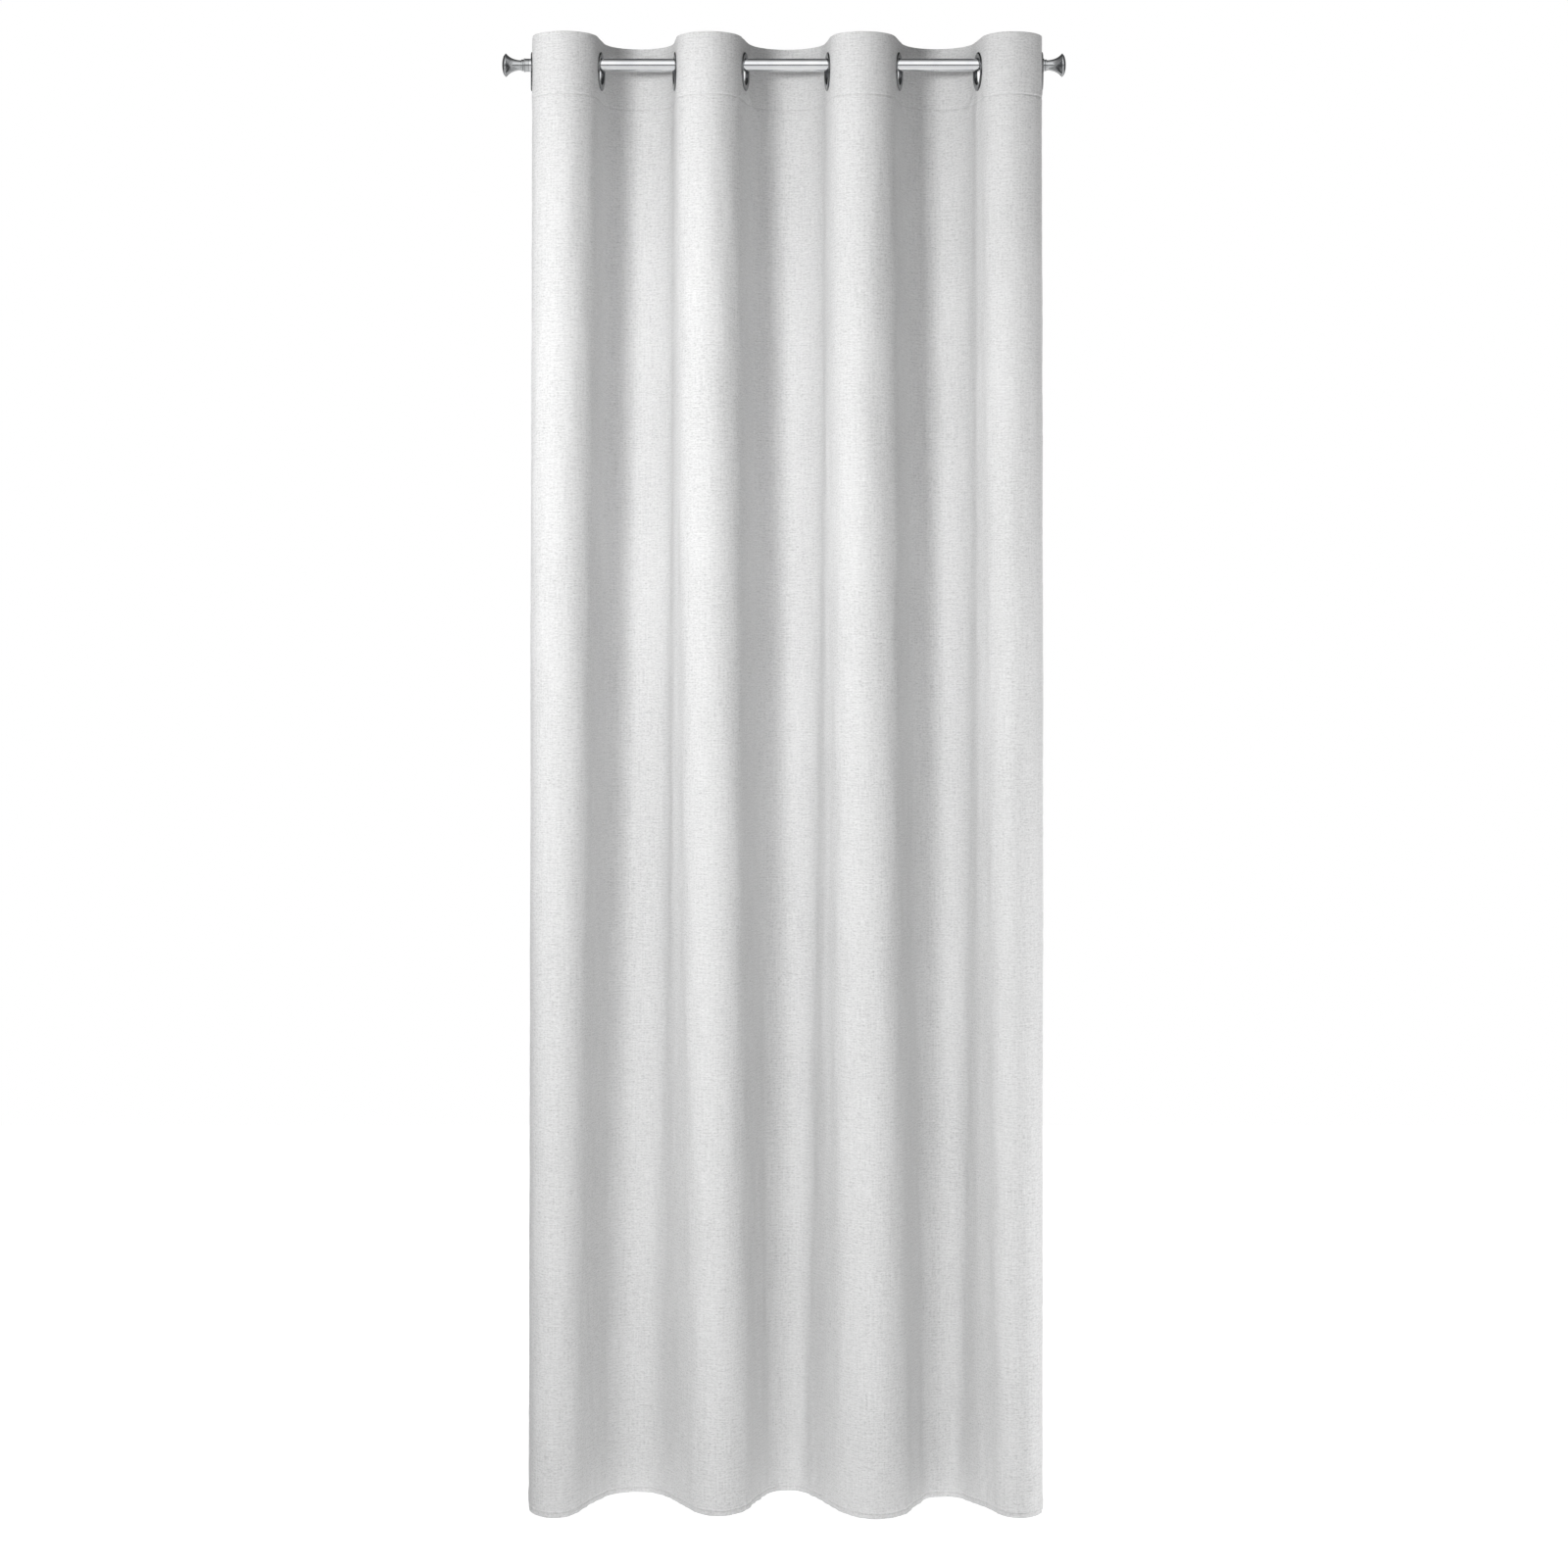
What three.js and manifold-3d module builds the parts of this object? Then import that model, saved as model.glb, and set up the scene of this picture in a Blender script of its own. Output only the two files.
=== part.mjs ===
// An eyelet curtain panel hanging from its rod, in millimetres.
//
// The origin is on the rod's axis at mid-length. +X runs along the rod to the viewer's right,
// -Y points into the room and +Z is up. Seen from above, the cloth is a meander that crosses
// the rod line at each eyelet: odd folds stand out into the room, even folds lie behind the rod.

import * as THREE from 'three';
import { mergeVertices } from 'three/addons/utils/BufferGeometryUtils.js';
import Module from 'manifold-3d';

const wasm = await Module();
wasm.setup();

// Rod and finials
const ROD_RADIUS = 11;
const ROD_WALL = 1.2;
const ROD_HALF_LENGTH = 435;
const BUSH_LENGTH = 30;
const SPIGOT_RADIUS = 6;
const SPIGOT_LENGTH = 34;
const COLLAR_LENGTH = 7;
const RING_LENGTH = 2.4;
const RING_RISE = 0.6;
const BEAD_LENGTH = 5.6;
const BEAD_RISE = 1.6;
const GROOVE_RISE = 0.6;
const NECK_RADIUS = 8.4;
const FLARE_RISE = 1;
const FLARE_SHIFT = 4;
const DOME_HEIGHT = 6.5;
const FINIAL_LENGTH = 46.5;
const FINIAL_RADIUS = 19.7;
const BEVEL = 0.3;

// Eyelets
const EYELET_X = [-430, -313, -186, -67, 75, 196, 332, 440];
const EYELET_RADIUS = 33;
const BORE_RADIUS = 22.5;
const BARREL_WALL = 1.9;
const FLANGE_EDGE = 0.5;
const FLANGE_CROWN = 1.7;
const CUTTER_LENGTH = 12;

// Cloth
const DROP = 2500;
const TOP_ABOVE_EYELET = 54;
const HEADER_DEPTH = 105;
const CLOTH_THICKNESS = 0.8;
const TAPE_THICKNESS = 0.5;
const SIDE_MARGIN = 37;
const HEM_X = [-435, -325, -181, -49, 75, 220, 338, 441];

// Angles in degrees from the rod line at which the cloth crosses it at each eyelet, and the
// mean length of the straight legs there
const HEADER_CROSSING = [86, 83, 84, 80, 83, 79, 80, 88];
const HEM_CROSSING = [86, 70, 66, 74, 67, 74, 68, 88];
const HEADER_LEG = EYELET_RADIUS + 3;

// Clearances between neighbouring pieces
const GAP = 0.3;
const RUNNING_GAP = 0.5;

// Fineness of the faceted surfaces
const ROUND_SEGMENTS = 20;
const CROWN_SEGMENTS = 3;
const ARC_SEGMENTS = 8;
const LEVELS_BELOW_HEADER = 4;

// Places that follow from the sizes above: the eyelets rest on top of the rod.
const EYELET_Z = ROD_RADIUS + RUNNING_GAP - BORE_RADIUS;
const TOP_Z = EYELET_Z + TOP_ABOVE_EYELET;
const HEADER_Z = TOP_Z - HEADER_DEPTH;
const HEM_Z = TOP_Z - DROP;
const BARREL_RADIUS = BORE_RADIUS + BARREL_WALL;
const CLOTH_FACE = CLOTH_THICKNESS / 2;
const TAPE_FACE = CLOTH_FACE + GAP;
const TAPE_BACK = TAPE_FACE + TAPE_THICKNESS;
const LAST_FOLD = EYELET_X.length - 1;

const materials = {
  chrome: new THREE.MeshStandardMaterial({ color: 0xc4c6c9, metalness: 1, roughness: 0.12 }),
  nickel: new THREE.MeshStandardMaterial({ color: 0x8f9194, metalness: 1, roughness: 0.25 }),
  nylon: new THREE.MeshStandardMaterial({ color: 0xe6e6e2, metalness: 0, roughness: 0.6 }),
  linen: new THREE.MeshStandardMaterial({ color: 0xd6d6d8, metalness: 0, roughness: 0.95 }),
  buckram: new THREE.MeshStandardMaterial({ color: 0xf1f1ee, metalness: 0, roughness: 0.9 }),
};

function named(name, geometry, material) {
  const mesh = new THREE.Mesh(geometry, material);
  mesh.name = name;
  return mesh;
}

// A closed solid turned about the Y axis from a profile of (radius, height) points.
function turned(path) {
  return new THREE.LatheGeometry(path.getPoints(CROWN_SEGMENTS), ROUND_SEGMENTS);
}

// Rod: a plain tube, open at both ends.
function makeRod() {
  const inner = ROD_RADIUS - ROD_WALL;
  const wall = new THREE.Path();
  wall.moveTo(inner, -ROD_HALF_LENGTH);
  wall.lineTo(ROD_RADIUS, -ROD_HALF_LENGTH);
  wall.lineTo(ROD_RADIUS, ROD_HALF_LENGTH);
  wall.lineTo(inner, ROD_HALF_LENGTH);
  wall.closePath();
  const rod = named('curtain_rod', turned(wall), materials.chrome);
  rod.rotation.z = -Math.PI / 2;
  return rod;
}

// Bush: the sleeve in the rod's end that grips the finial's spigot. Its mouth is at height 0.
function bushGeometry() {
  const outer = ROD_RADIUS - ROD_WALL - GAP;
  const bore = SPIGOT_RADIUS + GAP;
  const wall = new THREE.Path();
  wall.moveTo(bore, -BUSH_LENGTH);
  wall.lineTo(outer, -BUSH_LENGTH);
  wall.lineTo(outer, -GAP);
  wall.lineTo(bore, -GAP);
  wall.closePath();
  return turned(wall);
}

// Finial: spigot, collar as wide as the rod, raised ring, groove, bead and a trumpet whose
// mouth is closed by a shallow dome. Height 0 is the rod's end.
function finialGeometry() {
  const ring = ROD_RADIUS + RING_RISE;
  const groove = NECK_RADIUS + GROOVE_RISE;
  const bead = NECK_RADIUS + BEAD_RISE;
  const ringEnd = COLLAR_LENGTH + RING_LENGTH;
  const neck = ringEnd + BEAD_LENGTH;
  const rim = FINIAL_LENGTH - DOME_HEIGHT;
  const flare = (neck + rim) / 2 + FLARE_SHIFT;
  const outline = new THREE.Path();
  outline.moveTo(0, -SPIGOT_LENGTH);
  outline.lineTo(SPIGOT_RADIUS, -SPIGOT_LENGTH);
  outline.lineTo(SPIGOT_RADIUS, GAP);
  outline.lineTo(ROD_RADIUS, GAP);
  outline.lineTo(ROD_RADIUS, COLLAR_LENGTH);
  outline.lineTo(ring, COLLAR_LENGTH + BEVEL);
  outline.lineTo(ring, ringEnd);
  outline.lineTo(groove, ringEnd + BEVEL);
  outline.lineTo(bead, (ringEnd + neck) / 2);
  outline.lineTo(NECK_RADIUS, neck);
  outline.quadraticCurveTo(NECK_RADIUS + FLARE_RISE, flare, FINIAL_RADIUS, rim);
  outline.absellipse(0, rim, FINIAL_RADIUS, DOME_HEIGHT, 0, Math.PI / 2, false);
  return turned(outline);
}

// A piece at one end of the rod, turned so that its height axis points out of that end.
function atRodEnd(name, geometry, material, side) {
  const piece = named(name, geometry, material);
  piece.rotation.z = -side * Math.PI / 2;
  piece.position.x = side * ROD_HALF_LENGTH;
  return piece;
}

// Front half of an eyelet: a crowned flange and the barrel that passes through the cloth.
function eyeletFrontGeometry() {
  const barrelEnd = -(TAPE_BACK + GAP + FLANGE_EDGE + FLANGE_CROWN);
  const seat = CLOTH_FACE + GAP;
  const edge = seat + FLANGE_EDGE;
  const middle = (EYELET_RADIUS + BORE_RADIUS) / 2;
  const halfWidth = (EYELET_RADIUS - BORE_RADIUS) / 2;
  const profile = new THREE.Path();
  profile.moveTo(BARREL_RADIUS, barrelEnd);
  profile.lineTo(BARREL_RADIUS, seat);
  profile.lineTo(EYELET_RADIUS, seat);
  profile.absellipse(middle, edge, halfWidth, FLANGE_CROWN, 0, Math.PI, false);
  profile.lineTo(BORE_RADIUS, barrelEnd);
  profile.closePath();
  return turned(profile);
}

// Back half of an eyelet: a crowned washer that snaps around the barrel.
function eyeletBackGeometry() {
  const seat = -(TAPE_BACK + GAP);
  const edge = seat - FLANGE_EDGE;
  const bore = BARREL_RADIUS + RUNNING_GAP;
  const middle = (EYELET_RADIUS + bore) / 2;
  const halfWidth = (EYELET_RADIUS - bore) / 2;
  const profile = new THREE.Path();
  profile.absellipse(middle, edge, halfWidth, FLANGE_CROWN, Math.PI, 2 * Math.PI, false);
  profile.lineTo(EYELET_RADIUS, seat);
  profile.lineTo(bore, seat);
  profile.closePath();
  return turned(profile);
}

// +1 for a fold behind the rod line and -1 for one in front; folds count from the left.
function sideOfFold(fold) {
  return fold % 2 === 0 ? -1 : 1;
}

// Place and angle at which the cloth crosses the rod line below an eyelet.
function crossingAt(index, fall) {
  const { degToRad, lerp } = THREE.MathUtils;
  return {
    x: lerp(EYELET_X[index], HEM_X[index], fall),
    angle: degToRad(lerp(HEADER_CROSSING[index], HEM_CROSSING[index], fall)),
  };
}

// An eyelet half, or the hole for it, on the cloth's front normal at one eyelet.
function placeAtEyelet(piece, index) {
  const { x, angle } = crossingAt(index, 0);
  const normal = new THREE.Vector3(sideOfFold(index) * Math.sin(angle), -Math.cos(angle), 0);
  piece.quaternion.setFromUnitVectors(new THREE.Vector3(0, 1, 0), normal);
  piece.position.set(x, 0, EYELET_Z);
  return piece;
}

// The cloth's length in a fold, set by the header: two legs and the arc between them.
function clothLength(fold) {
  const first = crossingAt(fold, 0);
  const last = crossingAt(fold + 1, 0);
  const angle = (first.angle + last.angle) / 2;
  const radius = (last.x - first.x - 2 * HEADER_LEG * Math.cos(angle)) / (2 * Math.sin(angle));
  return 2 * HEADER_LEG + 2 * angle * radius;
}

// The two legs and the radius of the arc between them that carry a length of cloth from one
// crossing to the next, because cloth doesn't stretch.
function legsAndRadius(length, first, last) {
  const { sin, cos } = Math;
  const a = first.angle;
  const b = last.angle;
  const sums = new THREE.Matrix3(
    cos(a), cos(b), sin(a) + sin(b),
    sin(a), -sin(b), cos(b) - cos(a),
    1, 1, a + b,
  );
  const target = new THREE.Vector3(last.x - first.x, 0, length);
  return target.applyMatrix3(sums.invert()).toArray();
}

// One fold's centre line at a height, as stations with the cloth's front normal. before and
// after are how far the line runs past its two eyelet lines; a negative run stops short.
function foldLine(fold, fall, before, after) {
  const first = crossingAt(fold, fall);
  const last = crossingAt(fold + 1, fall);
  const [firstLeg, , radius] = legsAndRadius(clothLength(fold), first, last);
  const side = sideOfFold(fold);
  const station = (x, depth, angle) => ({
    x,
    y: side * depth,
    normal: new THREE.Vector2(side * Math.sin(angle), -Math.cos(angle)),
  });
  const onFirstLeg = (run) => [first.x + run * Math.cos(first.angle), run * Math.sin(first.angle)];
  const [arcX, arcDepth] = onFirstLeg(firstLeg);
  const stations = [station(...onFirstLeg(-before), first.angle)];
  for (let i = 0; i <= ARC_SEGMENTS; i += 1) {
    const angle = THREE.MathUtils.lerp(first.angle, -last.angle, i / ARC_SEGMENTS);
    const x = arcX + radius * (Math.sin(first.angle) - Math.sin(angle));
    const depth = arcDepth + radius * (Math.cos(angle) - Math.cos(first.angle));
    stations.push(station(x, depth, angle));
  }
  const endX = last.x + after * Math.cos(last.angle);
  stations.push(station(endX, -after * Math.sin(last.angle), -last.angle));
  return stations;
}

// A thin closed solid over stacked lines of stations, lowest line first, between two offsets
// along the stations' front normals.
function thinSolid(lines, back, front) {
  const columns = lines[0].stations.length;
  const positions = [];
  for (const offset of [back, front]) {
    for (const { z, stations } of lines) {
      for (const { x, y, normal } of stations) {
        positions.push(x + offset * normal.x, y + offset * normal.y, z);
      }
    }
  }
  const at = (face, row, column) => (face * lines.length + row) * columns + column;
  const index = [];
  const quad = (a, b, c, d) => index.push(a, b, c, a, c, d);
  const top = lines.length - 1;
  const end = columns - 1;
  for (let row = 0; row < top; row += 1) {
    for (let column = 0; column < end; column += 1) {
      quad(at(1, row, column), at(1, row, column + 1), at(1, row + 1, column + 1), at(1, row + 1, column));
      quad(at(0, row, column), at(0, row + 1, column), at(0, row + 1, column + 1), at(0, row, column + 1));
    }
    quad(at(0, row, 0), at(1, row, 0), at(1, row + 1, 0), at(0, row + 1, 0));
    quad(at(0, row, end), at(0, row + 1, end), at(1, row + 1, end), at(1, row, end));
  }
  for (let column = 0; column < end; column += 1) {
    quad(at(0, 0, column), at(0, 0, column + 1), at(1, 0, column + 1), at(1, 0, column));
    quad(at(0, top, column), at(1, top, column), at(1, top, column + 1), at(0, top, column + 1));
  }
  const geometry = new THREE.BufferGeometry();
  geometry.setAttribute('position', new THREE.Float32BufferAttribute(positions, 3));
  geometry.setIndex(index);
  return geometry;
}

function toManifold(geometry) {
  const bare = geometry.clone();
  bare.deleteAttribute('normal');
  bare.deleteAttribute('uv');
  const merged = mergeVertices(bare);
  const vertProperties = new Float32Array(merged.attributes.position.array);
  const triVerts = new Uint32Array(merged.index.array);
  return new wasm.Manifold(new wasm.Mesh({ numProp: 3, vertProperties, triVerts }));
}

function fromManifold(solid) {
  const { vertProperties, triVerts } = solid.getMesh();
  const geometry = new THREE.BufferGeometry();
  geometry.setAttribute('position', new THREE.BufferAttribute(vertProperties, 3));
  geometry.setIndex(new THREE.BufferAttribute(triVerts, 1));
  return geometry;
}

// The cutter for the round hole that an eyelet's barrel passes through.
function eyeletCutter(index) {
  const radius = BARREL_RADIUS + RUNNING_GAP;
  const cylinder = new THREE.CylinderGeometry(radius, radius, CUTTER_LENGTH, ROUND_SEGMENTS);
  const cutter = new THREE.Mesh(cylinder);
  placeAtEyelet(cutter, index).updateMatrix();
  return toManifold(cylinder.applyMatrix4(cutter.matrix));
}

function withEyeletHoles(geometry, fold) {
  const holes = eyeletCutter(fold).add(eyeletCutter(fold + 1));
  return fromManifold(toManifold(geometry).subtract(holes));
}

// How far fold and tape run past their eyelet lines: a margin at the panel's two side edges,
// and elsewhere half the gap to the next fold.
function runs(fold) {
  return {
    before: fold === 0 ? SIDE_MARGIN : -GAP / 2,
    after: fold === LAST_FOLD - 1 ? SIDE_MARGIN : -GAP / 2,
  };
}

// One fold of the fabric, from the hem to the top edge.
function makeFabricFold(fold) {
  const { before, after } = runs(fold);
  const lines = [];
  for (let level = 0; level <= LEVELS_BELOW_HEADER; level += 1) {
    const fall = 1 - level / LEVELS_BELOW_HEADER;
    const z = THREE.MathUtils.lerp(HEADER_Z, HEM_Z, fall);
    lines.push({ z, stations: foldLine(fold, fall, before, after) });
  }
  lines.push({ z: TOP_Z, stations: foldLine(fold, 0, before, after) });
  const geometry = withEyeletHoles(thinSolid(lines, -CLOTH_FACE, CLOTH_FACE), fold);
  return named(`fabric_fold_${fold + 1}`, geometry, materials.linen);
}

// The stiff tape behind the same fold of the header.
function makeHeaderTape(fold) {
  const { before, after } = runs(fold);
  const stations = foldLine(fold, 0, before, after);
  const lines = [{ z: HEADER_Z, stations }, { z: TOP_Z, stations }];
  const geometry = withEyeletHoles(thinSolid(lines, -TAPE_BACK, -TAPE_FACE), fold);
  return named(`header_tape_${fold + 1}`, geometry, materials.buckram);
}

const curtain = new THREE.Group();
curtain.add(makeRod());
for (const [end, side] of [['left', -1], ['right', 1]]) {
  curtain.add(atRodEnd(`rod_bush_${end}`, bushGeometry(), materials.nylon, side));
  curtain.add(atRodEnd(`finial_${end}`, finialGeometry(), materials.chrome, side));
}
for (let index = 0; index < EYELET_X.length; index += 1) {
  const name = `eyelet_${index + 1}`;
  const front = named(`${name}_front`, eyeletFrontGeometry(), materials.nickel);
  const back = named(`${name}_back`, eyeletBackGeometry(), materials.nickel);
  curtain.add(placeAtEyelet(front, index), placeAtEyelet(back, index));
}
for (let fold = 0; fold < LAST_FOLD; fold += 1) {
  curtain.add(makeFabricFold(fold));
  curtain.add(makeHeaderTape(fold));
}

export default curtain;
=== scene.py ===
"""Looks of the eyelet curtain panel: one hemmed cloth, its stitching, the eyelets, the rod and its finials.

Everything is in metres in the CAD frame: +X along the rod, -Y into the room, +Z up, origin on the rod's axis.
On the cloth, u runs across it from the left edge and v runs down it from the top edge, as it lay flat.
"""

import math

import bpy
import numpy as np
from mathutils import Matrix, Vector


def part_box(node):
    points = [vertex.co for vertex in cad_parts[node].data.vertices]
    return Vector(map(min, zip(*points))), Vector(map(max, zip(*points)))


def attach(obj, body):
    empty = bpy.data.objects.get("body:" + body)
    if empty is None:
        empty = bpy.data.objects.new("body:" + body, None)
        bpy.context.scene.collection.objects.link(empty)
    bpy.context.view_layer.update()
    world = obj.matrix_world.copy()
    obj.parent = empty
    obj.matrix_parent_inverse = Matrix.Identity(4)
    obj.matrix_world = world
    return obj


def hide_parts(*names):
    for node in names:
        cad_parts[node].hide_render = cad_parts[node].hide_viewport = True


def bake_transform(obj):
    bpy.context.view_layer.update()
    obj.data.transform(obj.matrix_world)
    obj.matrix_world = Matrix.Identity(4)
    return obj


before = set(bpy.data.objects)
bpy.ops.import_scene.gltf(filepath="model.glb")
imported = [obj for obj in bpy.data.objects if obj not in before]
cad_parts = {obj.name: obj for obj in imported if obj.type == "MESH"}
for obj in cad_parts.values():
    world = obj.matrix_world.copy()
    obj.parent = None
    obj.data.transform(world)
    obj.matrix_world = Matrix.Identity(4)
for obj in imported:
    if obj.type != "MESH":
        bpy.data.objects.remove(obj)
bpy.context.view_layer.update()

MM = 0.001

# The frame's own places
ROD_LOW, ROD_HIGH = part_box("curtain_rod")
ROD_RADIUS = (ROD_HIGH.z - ROD_LOW.z) / 2
ROD_END = ROD_HIGH.x
EYELETS = 8
EYELET_BOXES = [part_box(f"eyelet_{k + 1}_front") for k in range(EYELETS)]
EYELET_X = [(low.x + high.x) / 2 for low, high in EYELET_BOXES]
EYELET_Z = (EYELET_BOXES[0][0].z + EYELET_BOXES[0][1].z) / 2
EYELET_RADIUS = (EYELET_BOXES[0][1].z - EYELET_BOXES[0][0].z) / 2
TOP_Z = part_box("fabric_fold_1")[1].z
HEM_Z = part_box("fabric_fold_1")[0].z
DROP = TOP_Z - HEM_Z
HEADER_DEPTH = TOP_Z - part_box("header_tape_1")[0].z
EYELET_V = TOP_Z - EYELET_Z

# How the cloth hangs: below each eyelet it crosses the rod's line, and between two crossings it runs
# out along a straight leg, turns and comes back. These are the angles of the crossings at the header
# and at the hem, and their places at the hem. ROUNDNESS 0 turns a fold evenly and 1 like a cosine.
HEADER_CROSSING = [math.radians(a) for a in (86, 83, 84, 80, 83, 79, 80, 88)]
HEADER_LEG = 36 * MM
SIDE_MARGIN = 37 * MM
HEM_X = [x * MM for x in (-435, -325, -181, -49, 75, 220, 338, 441)]
HEM_CROSSING = [math.radians(a) for a in (86, 70, 66, 74, 67, 74, 68, 88)]
ROUNDNESS = 0.3

# The hem isn't level: it dips right of the middle, and the folds in front sag in proportion to the
# square of their depth, by FRONT_SAG at FOLD_DEPTH
HEM_DIP = 11 * MM
DIP_EYELET = 5
DIP_PAST_EYELET = 50 * MM
DIP_WIDTH = 250 * MM
FRONT_SAG = 4 * MM
FOLD_DEPTH = 66 * MM

# Cloth, seams and hems: CLOTH is its thickness, and each EXTRA is what turned-over layers add
CLOTH = 0.6 * MM
HEADER_EXTRA = 1.0 * MM
TURN_BELOW_SEAM = 6 * MM
HEM_DEPTH = 10 * MM
HEM_EXTRA = 1.2 * MM
SIDE_HEM = 13 * MM
SIDE_EXTRA = 0.9 * MM
TURN_PAST_SIDE_SEAM = 2.25 * MM
EDGE_ROUND = 1.1 * MM
EDGE_THINNEST = 0.12
HOLE_RADIUS = 26 * MM
STITCH_PITCH = 3.6 * MM
STITCH_LENGTH = 2.7 * MM
STITCH_RADIUS = 0.24 * MM

# The cloth's grid: lines close together at the outer edges, a square patch around each eyelet whose
# inner square becomes the round hole, and the steps between lines elsewhere
EDGE_LINES = [d * MM for d in (0, 0.15, 0.4, 0.8, 1.4)]
EDGE_BAND = 3 * MM
PATCH = 34 * MM
PATCH_HOLE = 17 * MM
PATCH_STEP = 4.25 * MM
FOLD_STEP = 3.8 * MM
SEAM_STEP = 3.5 * MM
DROP_STEP = 11 * MM
SEAM_BAND = 60 * MM
CLOSEST_LINES = 0.35 * MM
SNAP = 1e-6
TINY = 1e-9

# Eyelets and finials
BORE_RADIUS = 22.5 * MM
BARREL_RADIUS = 24.4 * MM
FLANGE_SEAT = 0.7 * MM
BACK_SEAT = 1.5 * MM
FLANGE_EDGE = 0.5 * MM
FLANGE_CROWN = 1.7 * MM
TURNED_SEGMENTS = 96
ON_AXIS = 1e-7

# Studio: the fill's strength, the floor's glow as the cloth and as the camera see it, and what
# polished metal sees at angles about the rod's line, as (degrees, level) with 0 in front, 90 overhead
# and 180 behind
WORLD_FILL = 0.13
FLOOR_GLOW = 0.62
FLOOR_SEEN = 0.9
FLOOR_BELOW_HEM = 0.3
FLOOR_HALF_WIDTH = 9
BAND_STRENGTH = 1.3
BANDS = [
    (-180, 0.08), (-140, 0.12), (-80, 0.7), (-55, 1), (-38, 0.7), (-20, 0.09),
    (-3, 0.22), (14, 1), (40, 1), (80, 0.3), (110, 0.08), (180, 0.07),
]


# ---------------------------------------------------------------- mesh helpers

def new_object(name, vertices, faces, material, smooth_angle=40):
    """A mesh object in the scene, shaded smooth up to an angle in degrees."""
    mesh = bpy.data.meshes.new(name)
    mesh.from_pydata(vertices, [], faces)
    mesh.materials.append(material)
    mesh.update()
    mesh.shade_smooth()
    mesh.set_sharp_from_angle(angle=math.radians(smooth_angle))
    piece = bpy.data.objects.new(name, mesh)
    bpy.context.scene.collection.objects.link(piece)
    return piece


def arc(centre, radii, start, stop, steps):
    """Points of an elliptic arc in the (radius, height) plane; angles in degrees."""
    angles = np.radians(np.linspace(start, stop, steps + 1))
    return [(centre[0] + radii[0] * math.cos(a), centre[1] + radii[1] * math.sin(a)) for a in angles]


def turned_mesh(profile, closed):
    """Vertices and faces of a solid turned about +Z. An open profile starts and ends on the axis."""
    vertices, faces, rings = [], [], []
    for radius, height in profile:
        if radius < ON_AXIS:
            rings.append([len(vertices)] * TURNED_SEGMENTS)
            vertices.append((0, 0, height))
            continue
        rings.append(list(range(len(vertices), len(vertices) + TURNED_SEGMENTS)))
        for step in range(TURNED_SEGMENTS):
            angle = 2 * math.pi * step / TURNED_SEGMENTS
            vertices.append((radius * math.cos(angle), radius * math.sin(angle), height))
    pairs = list(zip(rings, rings[1:]))
    if closed:
        pairs.append((rings[-1], rings[0]))
    for low, high in pairs:
        for step in range(TURNED_SEGMENTS):
            after = (step + 1) % TURNED_SEGMENTS
            face = [low[step], low[after], high[after], high[step]]
            # On the axis two corners are one, and the face is a triangle
            faces.append(list(dict.fromkeys(face)))
    return vertices, faces


def turned_piece(name, profile, closed, material, axis, position, smooth_angle=35):
    """A turned piece whose +Z axis is laid along axis at a place in the frame."""
    vertices, faces = turned_mesh(profile, closed)
    turned = Vector((0, 0, 1)).rotation_difference(Vector(axis)).to_matrix().to_4x4()
    place = Matrix.Translation(position) @ turned
    vertices = [tuple(place @ Vector(v)) for v in vertices]
    return new_object(name, vertices, faces, material, smooth_angle)


# ---------------------------------------------------------------- node helpers

def fill_ramp(node, stops):
    """Gives a colour ramp its stops, each a position and a colour."""
    while len(node.color_ramp.elements) < len(stops):
        node.color_ramp.elements.new(0.5)
    for element, (position, colour) in zip(node.color_ramp.elements, stops):
        element.position = position
        element.color = (*colour, 1)


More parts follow.
